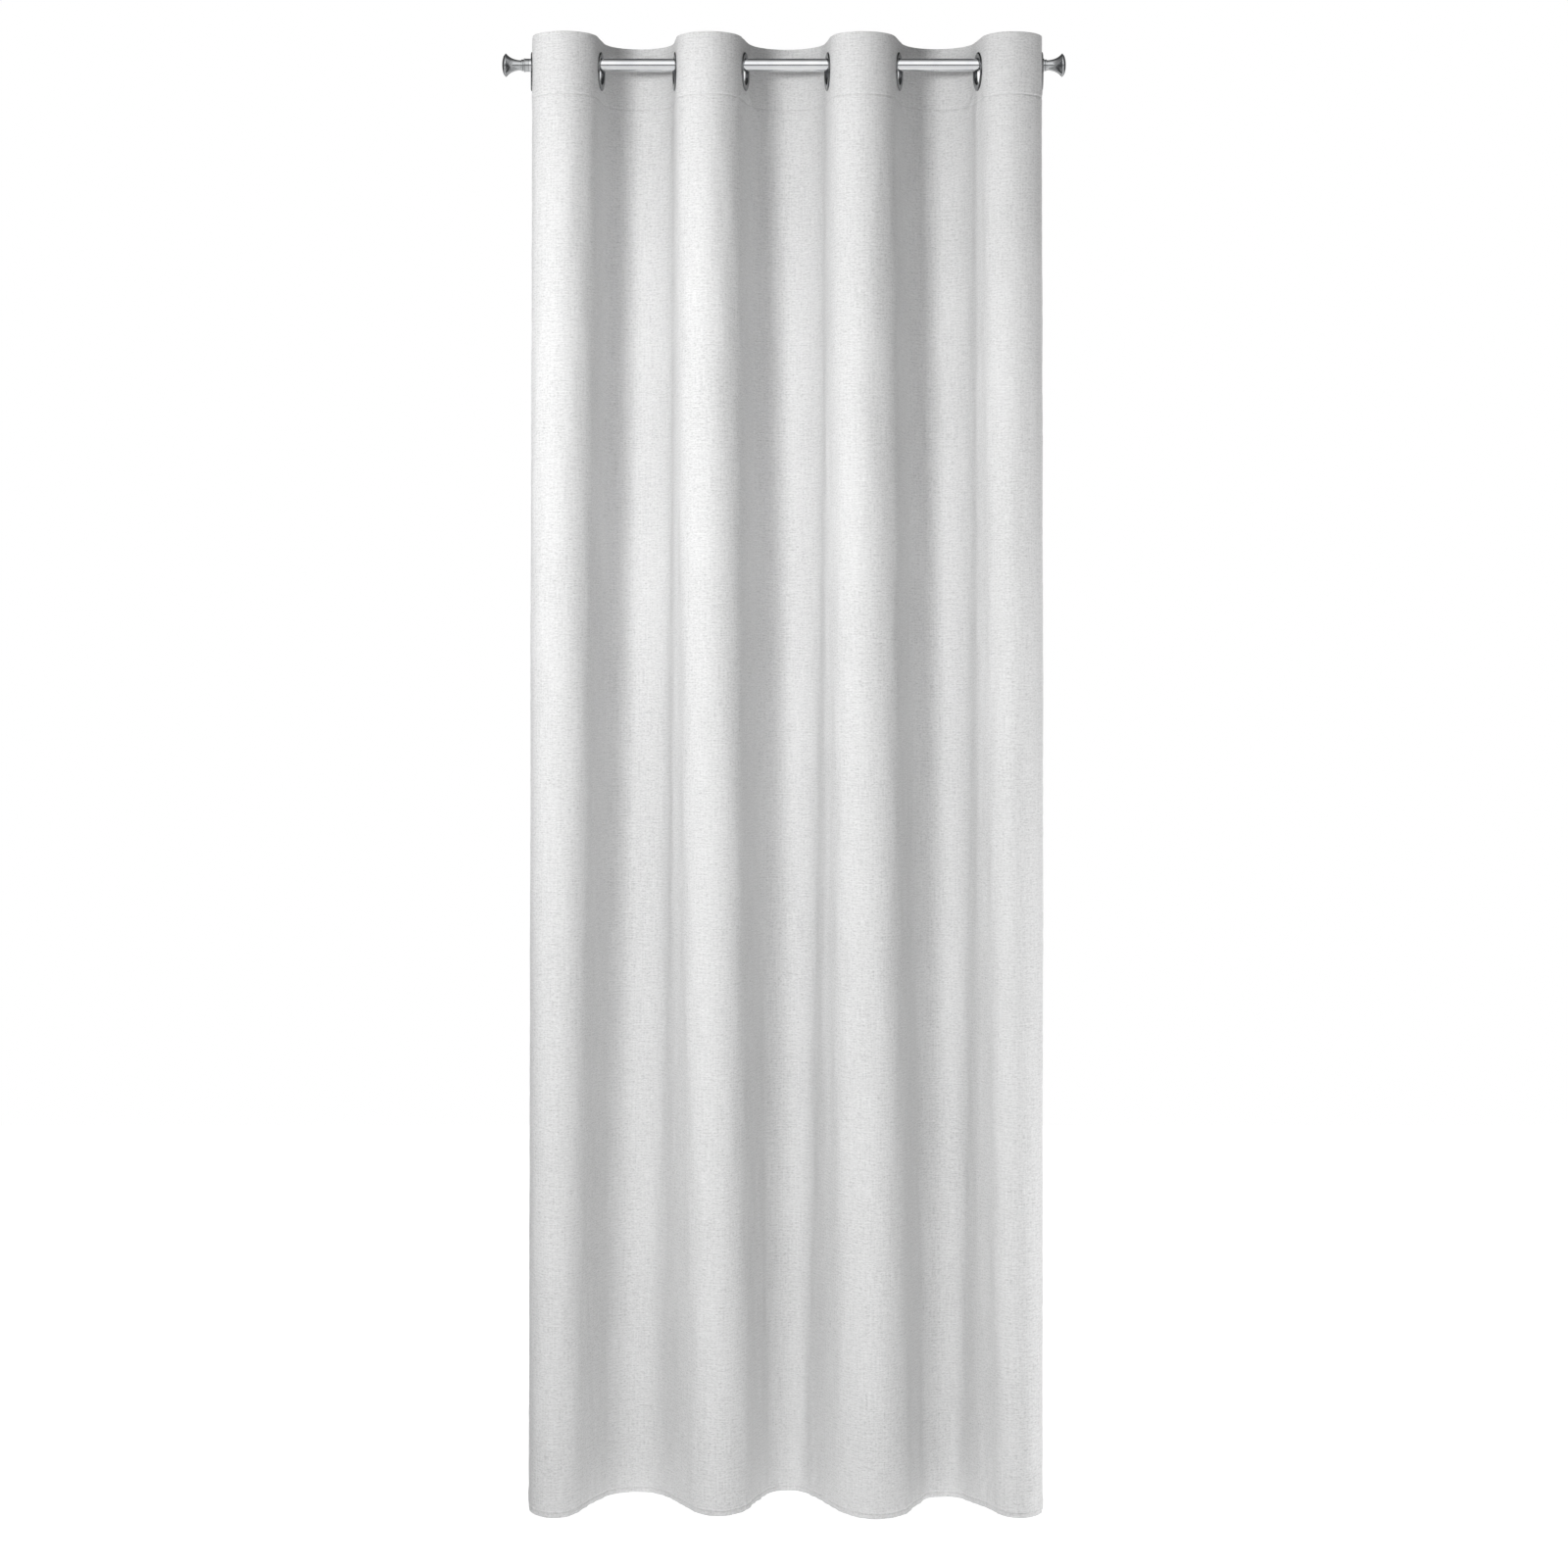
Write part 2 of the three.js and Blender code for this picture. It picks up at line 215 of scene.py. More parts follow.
class Nodes:
    """A material and short ways to add nodes to it and link them."""

    def __init__(self, name):
        self.material = bpy.data.materials.new(name)
        self.material.use_nodes = True
        self.tree = self.material.node_tree
        self.shader = self.tree.nodes["Principled BSDF"]

    def add(self, kind, **settings):
        node = self.tree.nodes.new(kind)
        for key, value in settings.items():
            setattr(node, key, value)
        return node

    def link(self, source, target):
        self.tree.links.new(source, target)

    def uv(self, scale_u, scale_v, offset=(0.0, 0.0)):
        """The cloth's flat coordinates in metres, scaled, as a vector."""
        source = self.add("ShaderNodeUVMap", uv_map="flat")
        mapping = self.add("ShaderNodeMapping")
        mapping.inputs["Location"].default_value = (offset[0], offset[1], 0)
        mapping.inputs["Scale"].default_value = (scale_u, scale_v, 1)
        self.link(source.outputs["UV"], mapping.inputs["Vector"])
        return mapping.outputs["Vector"]

    def noise(self, vector, detail, roughness=0.5, scale=1.0):
        node = self.add("ShaderNodeTexNoise")
        node.inputs["Scale"].default_value = scale
        node.inputs["Detail"].default_value = detail
        node.inputs["Roughness"].default_value = roughness
        self.link(vector, node.inputs["Vector"])
        return node.outputs["Fac"]

    def noise_on_object(self, scale, detail=2):
        """Noise in the object's own coordinates."""
        where = self.add("ShaderNodeTexCoord").outputs["Object"]
        return self.noise(where, detail, scale=scale)

    def threads(self, direction, vector):
        """Bands that stand for threads laid side by side along "X" or "Y"."""
        node = self.add("ShaderNodeTexWave", wave_type="BANDS", bands_direction=direction)
        node.inputs["Scale"].default_value = 1.0
        self.link(vector, node.inputs["Vector"])
        return node.outputs["Fac"]

    def math(self, operation, a, b):
        node = self.add("ShaderNodeMath", operation=operation)
        for socket, value in zip(node.inputs, (a, b)):
            if isinstance(value, (int, float)):
                socket.default_value = value
            else:
                self.link(value, socket)
        return node.outputs[0]

    def spread(self, value, low, high, to_low, to_high):
        """value from low..high to to_low..to_high, held at the ends."""
        node = self.add("ShaderNodeMapRange")
        for key, number in (("From Min", low), ("From Max", high), ("To Min", to_low), ("To Max", to_high)):
            node.inputs[key].default_value = number
        self.link(value, node.inputs["Value"])
        return node.outputs["Result"]

    def ramp(self, value, stops):
        node = self.add("ShaderNodeValToRGB")
        fill_ramp(node, stops)
        self.link(value, node.inputs["Fac"])
        return node.outputs["Color"]

    def bump(self, height, distance, strength=1.0, normal=None):
        node = self.add("ShaderNodeBump")
        node.inputs["Distance"].default_value = distance
        node.inputs["Strength"].default_value = strength
        self.link(height, node.inputs["Height"])
        if normal is not None:
            self.link(normal, node.inputs["Normal"])
        return node.outputs["Normal"]


def linen_material():
    """Light grey melange plain weave: slubs along the weft, faint warp lines and a fine thread grid."""
    n = Nodes("linen")
    weft = n.noise(n.uv(120, 560), detail=3, roughness=0.6)
    slubs = n.noise(n.uv(30, 380, (3.1, 0.7)), detail=2, roughness=0.5)
    warp = n.noise(n.uv(420, 14, (0.4, 5.2)), detail=3, roughness=0.55)
    flecks = n.noise(n.uv(260, 330, (7.7, 2.3)), detail=2, roughness=0.6)
    cloudy = n.noise(n.uv(5, 4, (1.3, 9.1)), detail=2, roughness=0.5)
    tone = n.math("ADD", n.spread(weft, 0.25, 0.75, 0, 0.34), n.spread(slubs, 0.3, 0.72, 0, 0.16))
    tone = n.math("ADD", tone, n.spread(warp, 0.28, 0.72, 0, 0.13))
    tone = n.math("ADD", tone, n.spread(flecks, 0.25, 0.75, 0, 0.33))
    tone = n.math("ADD", tone, n.spread(cloudy, 0.3, 0.7, 0, 0.08))
    dark, middle, light = (0.485, 0.486, 0.487), (0.705, 0.705, 0.706), (0.855, 0.855, 0.856)
    colour = n.ramp(tone, [(0.18, dark), (0.5, middle), (0.86, light)])
    n.link(colour, n.shader.inputs["Base Color"])
    weave = n.math("MULTIPLY", n.threads("X", n.uv(260, 1)), n.threads("Y", n.uv(1, 300)))
    fine = n.bump(weave, 0.12 * MM, 0.6)
    rough = n.math("ADD", n.math("MULTIPLY", weft, 0.7), n.math("MULTIPLY", slubs, 0.5))
    n.link(n.bump(rough, 0.5 * MM, 0.8, fine), n.shader.inputs["Normal"])
    n.link(n.spread(flecks, 0.3, 0.7, 0.86, 0.98), n.shader.inputs["Roughness"])
    n.shader.inputs["Sheen Weight"].default_value = 0.12
    n.shader.inputs["Sheen Roughness"].default_value = 0.5
    n.shader.inputs["Specular IOR Level"].default_value = 0.15
    return n.material


def thread_material():
    """Twisted sewing thread, a little darker than the cloth."""
    n = Nodes("thread")
    twist = n.noise_on_object(900)
    colour = n.ramp(twist, [(0.3, (0.42, 0.42, 0.43)), (0.7, (0.62, 0.62, 0.63))])
    n.link(colour, n.shader.inputs["Base Color"])
    n.link(n.bump(twist, 0.1 * MM), n.shader.inputs["Normal"])
    n.shader.inputs["Roughness"].default_value = 0.7
    return n.material


def metal_material(name, dark, light, rough_low, rough_high, scale):
    """A plated metal with faint clouding in its colour and polish, and fine rub marks."""
    n = Nodes(name)
    cloud = n.noise_on_object(scale, detail=4)
    rub = n.noise_on_object(scale * 14)
    n.link(n.ramp(cloud, [(0.3, dark), (0.7, light)]), n.shader.inputs["Base Color"])
    n.link(n.spread(rub, 0.3, 0.7, rough_low, rough_high), n.shader.inputs["Roughness"])
    n.link(n.bump(rub, 0.01 * MM, 0.25), n.shader.inputs["Normal"])
    n.shader.inputs["Metallic"].default_value = 1.0
    return n.material


def nylon_material():
    """Off-white moulded nylon, for the bushes inside the rod."""
    n = Nodes("nylon")
    grain = n.noise_on_object(700)
    colour = n.ramp(grain, [(0.3, (0.74, 0.74, 0.72)), (0.7, (0.84, 0.84, 0.82))])
    n.link(colour, n.shader.inputs["Base Color"])
    n.link(n.bump(grain, 0.05 * MM, 0.4), n.shader.inputs["Normal"])
    n.shader.inputs["Roughness"].default_value = 0.55
    return n.material


# ---------------------------------------------------------------- how the cloth hangs

def turn(tau):
    """How a fold's direction turns from +1 at its first leg to -1 at its last."""
    return (1 - ROUNDNESS) * (1 - 2 * tau) + ROUNDNESS * np.cos(math.pi * tau)


# Shares of the way around a fold's turn, from its first leg to its last
TAU = np.linspace(0, 1, 97)


def running_integral(values):
    """The integral of values over TAU up to each of its places, starting at 0."""
    steps = (values[1:] + values[:-1]) / 2 * (TAU[1] - TAU[0])
    return np.concatenate([[0], np.cumsum(steps)])


def fold_angles(first, last):
    """Direction angles between the legs of a fold, from +first to -last."""
    return first * (1 + turn(TAU)) / 2 - last * (1 - turn(TAU)) / 2


def fold_length(fold):
    """The cloth's length in a fold: at the header, two straight legs and a circular arc between them."""
    chord = EYELET_X[fold + 1] - EYELET_X[fold]
    angle = (HEADER_CROSSING[fold] + HEADER_CROSSING[fold + 1]) / 2
    radius = (chord - 2 * HEADER_LEG * math.cos(angle)) / (2 * math.sin(angle))
    return 2 * HEADER_LEG + 2 * angle * radius


LENGTHS = [fold_length(fold) for fold in range(EYELETS - 1)]
EYELET_U = SIDE_MARGIN + np.concatenate([[0], np.cumsum(LENGTHS)])
WIDTH = EYELET_U[-1] + SIDE_MARGIN


def crossing_at(index, fall):
    """Place and angle at which the cloth crosses the rod line below an eyelet."""
    x = EYELET_X[index] + (HEM_X[index] - EYELET_X[index]) * fall
    angle = HEADER_CROSSING[index] + (HEM_CROSSING[index] - HEADER_CROSSING[index]) * fall
    return x, angle


def fold_path(fold, fall):
    """Distances along one fold with the x, depth and direction there: two legs and a smooth turn."""
    start, first = crossing_at(fold, fall)
    stop, last = crossing_at(fold + 1, fall)
    angles = fold_angles(first, last)
    across, deep = running_integral(np.cos(angles)), running_integral(np.sin(angles))
    mean_x, mean_y = across[-1], deep[-1]
    length = LENGTHS[fold]
    legs = np.linalg.solve(
        [
            [math.cos(first) - mean_x, math.cos(last) - mean_x],
            [math.sin(first) - mean_y, -math.sin(last) - mean_y],
        ],
        [stop - start - length * mean_x, -length * mean_y],
    )
    middle = length - legs.sum()
    s = np.concatenate([[0], legs[0] + middle * TAU, [length]])
    x = start + np.concatenate([[0], legs[0] * math.cos(first) + middle * across, [stop - start]])
    y = np.concatenate([[0], legs[0] * math.sin(first) + middle * deep, [0]])
    angle = np.concatenate([[first], angles, [-last]])
    return s, x, y, angle


def cloth_line(u, fall):
    """x, y and direction angle of the cloth's middle surface at one height, for all of u."""
    x, y, angle = np.zeros_like(u), np.zeros_like(u), np.zeros_like(u)
    for fold in range(EYELETS - 1):
        side = -1 if fold % 2 == 0 else 1
        inside = (u >= EYELET_U[fold]) & (u <= EYELET_U[fold + 1])
        s, px, py, pa = fold_path(fold, fall)
        at = u[inside] - EYELET_U[fold]
        x[inside] = np.interp(at, s, px)
        y[inside] = side * np.interp(at, s, py)
        angle[inside] = side * np.interp(at, s, pa)
    for index, beyond in ((0, u < EYELET_U[0]), (EYELETS - 1, u > EYELET_U[-1])):
        place, crossing = crossing_at(index, fall)
        heading = crossing if index % 2 else -crossing
        run = u[beyond] - EYELET_U[index]
        x[beyond] = place + run * math.cos(heading)
        y[beyond] = run * math.sin(heading)
        angle[beyond] = heading
    return x, y, angle


def smoothstep(value, low, high):
    """0 up to low and 1 from high, with a smooth rise between."""
    t = np.clip((value - low) / (high - low), 0, 1)
    return t * t * (3 - 2 * t)


def bell(value, middle, width):
    """1 at the middle, falling away smoothly over a width on both sides."""
    return np.exp(-((value - middle) / width) ** 2)


def waves(u, v, count, period_u, period_v, seed):
    """Soft random unevenness with periods near those given, mostly between -1 and 1."""
    random = np.random.default_rng(seed)
    total = np.zeros_like(u)
    for _ in range(count):
        across = random.uniform(0.6, 1.6) / period_u * random.choice([-1, 1])
        down = random.uniform(0.5, 1.6) / period_v
        total += np.sin(2 * math.pi * (across * u + down * v) + random.uniform(0, 2 * math.pi))
    return total / math.sqrt(count) / 1.5


def drag_creases(u, v):
    """Diagonal creases that run down and away from each eyelet, across the header's seam."""
    total = np.zeros_like(u)
    random = np.random.default_rng(11)
    for centre in EYELET_U:
        for lean in (-1, 1):
            slope = random.uniform(0.75, 1.25)
            height = random.uniform(1.2, 2.2) * MM
            # A crease starts just outside the ring, below it and to one side
            start = (EYELET_RADIUS + 6 * MM) * 0.7
            du = lean * (u - centre) - start
            dv = v - EYELET_V - start * 1.1
            along = (du + slope * dv) / math.hypot(1, slope)
            aside = (slope * du - dv) / math.hypot(1, slope)
            window = smoothstep(along, -6 * MM, 10 * MM) * (1 - smoothstep(along, 25 * MM, 62 * MM))
            total += height * bell(aside, 0, 5 * MM) * window
            total -= 0.5 * height * bell(aside, 11 * MM, 6 * MM) * window
    return total


def unevenness(u, v):
    """How far the cloth stands off its smooth folds, along its front normal."""
    seam, hem_line = HEADER_DEPTH, DROP - HEM_DEPTH
    # Long ripples down the drop, shorter ones and fine ones
    total = 1.1 * MM * smoothstep(v, seam, seam + 0.5) * waves(u, v, 9, 0.11, 1.9, 3)
    total += 0.45 * MM * smoothstep(v, seam, seam + 0.08) * waves(u, v, 10, 0.05, 0.35, 5)
    total += 0.25 * MM * waves(u, v, 8, 0.035, 0.05, 7)
    total += drag_creases(u, v)
    # The header's seam: puckers and the groove of its stitches
    total += 0.65 * MM * bell(v, seam, 9 * MM) * waves(u, v, 7, 0.013, 0.05, 9)
    total -= 0.8 * MM * bell(v, seam, 1.4 * MM)
    # The hem: its wavy edge, puckers and the groove of its stitches
    total += 0.9 * MM * smoothstep(v, DROP - 0.09, DROP) ** 2 * waves(u, v, 8, 0.045, 0.16, 13)
    total += 1.5 * MM * bell(v, hem_line, 11 * MM) * waves(u, v + 0.4 * u, 7, 0.014, 0.03, 17)
    total -= 0.9 * MM * bell(v, hem_line + 1 * MM, 1.3 * MM)
    # The side hems' grooves
    for edge in (SIDE_HEM, WIDTH - SIDE_HEM):
        total -= 0.3 * MM * bell(u, edge, 1.2 * MM) * smoothstep(v, seam, seam + 0.05)
    # The cloth lies flat under the eyelets' rings
    for centre in EYELET_U:
        distance = np.hypot(u - centre, v - EYELET_V)
        total *= smoothstep(distance, EYELET_RADIUS + 1 * MM, EYELET_RADIUS + 26 * MM)
    return total


def grid_lines(points, steps):
    """Sorted grid values: stretches between points, split evenly into steps near the size given."""
    values = [points[0]]
    for (low, high), size in zip(zip(points, points[1:]), steps):
        count = max(1, round((high - low) / size))
        values += list(low + (high - low) * np.arange(1, count + 1) / count)
    return values


def with_extra(values, extra):
    """The grid values with extra ones added, leaving out neighbours too close to them."""
    kept = [v for v in values if all(abs(v - e) > CLOSEST_LINES for e in extra)]
    return np.array(sorted(kept + list(extra)))


def with_edges(middle, size):
    """The grid values of one direction, with the close ones at both outer edges."""
    return EDGE_LINES + middle + [size - d for d in reversed(EDGE_LINES)]


def around(centre, *offsets):
    """Places at these offsets in millimetres from a centre."""
    return [centre + o * MM for o in offsets]


def cloth_columns():
    """The grid's places across the cloth; the outer eyelets' patches end at the edge bands."""
    points, steps = [EDGE_BAND], []
    for index, centre in enumerate(EYELET_U):
        points += [centre - PATCH_HOLE, centre + PATCH_HOLE, centre + PATCH]
        steps += [PATCH_STEP] * 3
        if index < EYELETS - 1:
            points.append(EYELET_U[index + 1] - PATCH)
            steps.append(FOLD_STEP)
    columns = with_edges(grid_lines(points, steps), WIDTH)
    side = around(SIDE_HEM, -1.2, -0.5, 0, 0.5, 1.2, 2.0, 2.5)
    return with_extra(columns, side + [WIDTH - s for s in side])


def cloth_rows():
    """The grid's places down the cloth."""
    points = [EDGE_BAND, EYELET_V - PATCH, EYELET_V - PATCH_HOLE, EYELET_V + PATCH_HOLE, EYELET_V + PATCH]
    points += [HEADER_DEPTH + SEAM_BAND, DROP - SEAM_BAND, DROP - EDGE_BAND]
    steps = [PATCH_STEP] * 4 + [SEAM_STEP, DROP_STEP, SEAM_STEP]
    rows = with_edges(grid_lines(points, steps), DROP)
    seam = around(HEADER_DEPTH, -2.4, -1.2, -0.5, 0, 0.5, 1.2, 2.4)
    turn_edge = around(HEADER_DEPTH + TURN_BELOW_SEAM, -0.25, 0.25)
    hem = around(DROP - HEM_DEPTH, -2.4, -0.25, 0.25, 0.9, 1.6, 2.6)
    return with_extra(rows, seam + turn_edge + hem)


def open_eyelet_holes(u, v):
    """Moves the grid around each eyelet so that a square of it becomes the round hole's edge."""
    u, v = u.copy(), v.copy()
    for centre in EYELET_U:
        du, dv = u - centre, v - EYELET_V
        square = np.maximum(abs(du), abs(dv))
        round_distance = np.maximum(np.hypot(du, dv), TINY)
        share = np.clip((square - PATCH_HOLE) / (PATCH - PATCH_HOLE), 0, 1)
        inside = (square < PATCH) & (square > TINY)
        scale = (1 - share) * HOLE_RADIUS / round_distance + share * PATCH / np.maximum(square, TINY)
        scale = np.where(square < PATCH_HOLE - SNAP, scale * square / PATCH_HOLE, scale)
        u = np.where(inside, centre + du * scale, u)
        v = np.where(inside, EYELET_V + dv * scale, v)
    return u, v


class Cloth:
    """The hung cloth on its grid: its flat coordinates, its front normals and its two faces."""

    def __init__(self):
        self.columns, self.rows = cloth_columns(), cloth_rows()
        grid_u, grid_v = np.meshgrid(self.columns, self.rows)
        self.u, self.v = open_eyelet_holes(grid_u, grid_v)
        folds, self.normal = self.smooth_folds()
        middle = folds + self.normal * unevenness(self.u, self.v)[..., None]
        extra, half_round = self.extra_thickness(), self.edge_share()
        centre, half = -extra / 2, (CLOTH + extra) / 2
        self.front = middle + self.normal * (centre + half * half_round)[..., None]
        self.back = middle + self.normal * (centre - half * half_round)[..., None]

    def smooth_folds(self):
        """Places on the middle of the front layer, without its unevenness, and the normals there."""
        fall = np.clip((self.rows - HEADER_DEPTH) / (DROP - HEADER_DEPTH), 0, 1)
        x, y, angle = (np.zeros_like(self.u) for _ in range(3))
        for row, share in enumerate(fall):
            x[row], y[row], angle[row] = cloth_line(self.u[row], share)
        normal = np.stack([np.sin(angle), -np.cos(angle), np.zeros_like(angle)], axis=-1)
        sag = FRONT_SAG * (np.minimum(y, 0) / FOLD_DEPTH) ** 2
        dip = HEM_DIP * bell(self.u, EYELET_U[DIP_EYELET] + DIP_PAST_EYELET, DIP_WIDTH)
        z = TOP_Z - self.v - fall[:, None] * (dip + sag)
        return np.stack([x, y, z], axis=-1), normal

    def extra_thickness(self):
        """What the turned-over layers add behind the front layer, in steps at their free edges."""
        u, v = self.u, self.v
        header = np.where(v < HEADER_DEPTH + TURN_BELOW_SEAM, HEADER_EXTRA, 0)
        hem = np.where(v > DROP - HEM_DEPTH, HEM_EXTRA, 0)
        from_side = np.minimum(u, WIDTH - u)
        side = np.where(from_side < SIDE_HEM + TURN_PAST_SIDE_SEAM, SIDE_EXTRA, 0)
        return np.maximum(np.maximum(header, hem), side)

    def edge_share(self):
        """1 inside the cloth, falling along a quarter round to EDGE_THINNEST at its outer edges."""
        from_edge = np.minimum(np.minimum(self.u, WIDTH - self.u), np.minimum(self.v, DROP - self.v))
        inward = np.clip(from_edge / EDGE_ROUND, 0, 1)
        return EDGE_THINNEST + (1 - EDGE_THINNEST) * np.sqrt(1 - (1 - inward) ** 2)

    def quads(self):
        """The grid's cells as four vertex numbers each, without those in the eyelets' holes."""
        rows, columns = len(self.rows), len(self.columns)
        corner = np.arange(rows * columns).reshape(rows, columns)
        cells = np.stack([corner[1:, :-1], corner[1:, 1:], corner[:-1, 1:], corner[:-1, :-1]], axis=-1)
        mid_u = (self.columns[1:] + self.columns[:-1]) / 2
        mid_v = (self.rows[1:] + self.rows[:-1]) / 2
        keep = np.ones(cells.shape[:2], bool)
        for centre in EYELET_U:
            across = abs(mid_u - centre) < PATCH_HOLE
            down = abs(mid_v - EYELET_V) < PATCH_HOLE
            keep &= ~(down[:, None] & across[None, :])
        return cells[keep]

    def at(self, u, v, face):
        """Points on a face of the cloth ("front" or "back") and its normals there."""
        column = np.clip(np.searchsorted(self.columns, u) - 1, 0, len(self.columns) - 2)
        row = np.clip(np.searchsorted(self.rows, v) - 1, 0, len(self.rows) - 2)
        a = ((u - self.columns[column]) / (self.columns[column + 1] - self.columns[column]))[:, None]
        b = ((v - self.rows[row]) / (self.rows[row + 1] - self.rows[row]))[:, None]
        found = []
        for field in (getattr(self, face), self.normal):
            upper = field[row, column] * (1 - a) + field[row, column + 1] * a
            lower = field[row + 1, column] * (1 - a) + field[row + 1, column + 1] * a
            found.append(upper * (1 - b) + lower * b)
        return found


def rim_quads(quads, shift):
    """Quads that join the front to the back along every open edge of the front."""
    edges = np.concatenate([quads[:, [k, (k + 1) % 4]] for k in range(4)])
    size = quads.max() + 1
    forward = edges[:, 0] * size + edges[:, 1]
    backward = edges[:, 1] * size + edges[:, 0]
    a, b = edges[~np.isin(forward, backward)].T
    return np.stack([b, a, a + shift, b + shift], axis=-1)


def make_cloth(cloth, material):
    """The cloth as one closed mesh, with its flat coordinates as a UV map."""
    quads = cloth.quads()
    count = cloth.u.size
    faces = np.concatenate([quads, quads[:, ::-1] + count, rim_quads(quads, count)])
    vertices = np.concatenate([cloth.front.reshape(-1, 3), cloth.back.reshape(-1, 3)])
    flat = np.stack([cloth.u.ravel(), cloth.v.ravel()], axis=-1)
    flat = np.concatenate([flat, flat])
    used, faces = np.unique(faces, return_inverse=True)
    faces = faces.reshape(-1, 4)
    piece = new_object("curtain_cloth", vertices[used].tolist(), faces.tolist(), material, 50)
    layer = piece.data.uv_layers.new(name="flat")
    layer.data.foreach_set("uv", flat[used][faces.ravel()].astype(np.float32).ravel())
    return piece


# ---------------------------------------------------------------- stitching

def stitch_marks(cloth, u, v, along, face):
    """Small four-sided lozenges, one for each stitch, that lie on the cloth at (u, v)."""
    sign = 1 if face == "front" else -1
    half = STITCH_LENGTH / 2 * np.array(along)
    ends = [cloth.at(u + k * half[0], v + k * half[1], face) for k in (-1, -0.6, 0.6, 1)]
    direction = ends[-1][0] - ends[0][0]
    direction /= np.linalg.norm(direction, axis=1, keepdims=True)
    rings = []
    for (point, normal), swell in zip(ends, (0.3, 1.0, 1.0, 0.3)):
        out = normal * sign
        side = np.cross(direction, out)
        r = STITCH_RADIUS * swell
        ring = [point + out * r, point + side * r, point - out * r, point - side * r]
        rings.append(np.stack(ring, axis=1))
    vertices = np.stack(rings, axis=1).reshape(len(u), 16, 3)
    # Each stitch has four rings of four corners: its two ends first, and then the sides between rings
    faces = [[0, 3, 2, 1], [12, 13, 14, 15]]
    for ring in range(3):
        for k in range(4):
            a, b = ring * 4 + k, ring * 4 + (k + 1) % 4
            faces.append([a, b, b + 4, a + 4])
    faces = np.array(faces)[None] + 16 * np.arange(len(u))[:, None, None]
    return vertices.reshape(-1, 3), faces.reshape(-1, 4)


def stitch_row(cloth, start, stop, face):
    """A straight row of stitches between two flat points."""
    start, stop = np.array(start), np.array(stop)
    length = np.linalg.norm(stop - start)
    count = int(length / STITCH_PITCH)
    at = (np.arange(count) + 0.5) / count
    places = start + at[:, None] * (stop - start)
    return stitch_marks(cloth, places[:, 0], places[:, 1], (stop - start) / length, face)


def make_stitching(cloth, material):
    """The header's seam, the hem's seam and the side seams, on both faces, as one piece."""
    seam_v = HEADER_DEPTH
    hem_v = DROP - HEM_DEPTH + 1 * MM
    inset = 2.5 * MM
    side_top, side_end = seam_v + 8 * MM, hem_v - 4 * MM
    routes = [
        ((inset, seam_v), (WIDTH - inset, seam_v)),
        ((inset, hem_v), (WIDTH - inset, hem_v)),
        ((SIDE_HEM, side_top), (SIDE_HEM, side_end)),
        ((WIDTH - SIDE_HEM, side_top), (WIDTH - SIDE_HEM, side_end)),
    ]
    vertices, faces, count = [], [], 0
    for start, stop in routes:
        for face in ("front", "back"):
            some_vertices, some_faces = stitch_row(cloth, start, stop, face)
            vertices.append(some_vertices)
            faces.append(some_faces + count)
            count += len(some_vertices)
    vertices, faces = np.concatenate(vertices).tolist(), np.concatenate(faces).tolist()
    return new_object("seam_stitching", vertices, faces, material, 60)


# ---------------------------------------------------------------- eyelets, rod and finials

def eyelet_front_profile():
    """Crowned flange with a rolled bore edge, and the barrel that passes through the cloth."""
    edge = FLANGE_SEAT + FLANGE_EDGE
    middle = (EYELET_RADIUS + BORE_RADIUS) / 2
    half = (EYELET_RADIUS - BORE_RADIUS) / 2
    barrel_end = -(BACK_SEAT + FLANGE_EDGE + FLANGE_CROWN)
    profile = [(BARREL_RADIUS, barrel_end + 0.3 * MM), (BARREL_RADIUS, FLANGE_SEAT)]
    profile += [(EYELET_RADIUS - 0.15 * MM, FLANGE_SEAT), (EYELET_RADIUS, FLANGE_SEAT + 0.15 * MM)]
    profile += arc((middle, edge), (half, FLANGE_CROWN), 0, 180, 20)
    profile += [(BORE_RADIUS, barrel_end + 0.5 * MM), (BORE_RADIUS + 0.5 * MM, barrel_end)]
    profile += [(BARREL_RADIUS - 0.3 * MM, barrel_end)]
    return profile


def eyelet_back_profile():
    """The ring that snaps around the barrel behind the cloth."""
    bore = BARREL_RADIUS + 0.35 * MM
    edge = -(BACK_SEAT + FLANGE_EDGE)
    middle = (EYELET_RADIUS + bore) / 2
    half = (EYELET_RADIUS - bore) / 2
    profile = arc((middle, edge), (half, FLANGE_CROWN), 180, 360, 20)
    profile += [(EYELET_RADIUS, -BACK_SEAT - 0.15 * MM), (EYELET_RADIUS - 0.15 * MM, -BACK_SEAT)]
    profile += [(bore, -BACK_SEAT)]
    return profile


def body_of_eyelet(index):
    """The body an eyelet belongs to: the outer two are the panel's and the leading edge's own."""
    if index == 0:
        return "panel"
    if index == EYELETS - 1:
        return "lead_edge"
    return f"eyelet_{index + 1}"


def make_eyelet(index, material):
    """Both halves of an eyelet, square to the cloth where it crosses the rod's line."""
    side = -1 if index % 2 == 0 else 1
    crossing = HEADER_CROSSING[index]
    facing = (side * math.sin(crossing), -math.cos(crossing), 0)
    place = (EYELET_X[index], 0, EYELET_Z)
    halves = []
    for half, profile in (("front", eyelet_front_profile()), ("back", eyelet_back_profile())):
        name = f"eyelet_{index + 1}_{half}"
        piece = turned_piece(f"{name}_ring", profile, True, material, facing, place)
        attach(piece, body_of_eyelet(index))
        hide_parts(name)
        halves.append(piece)
    return halves


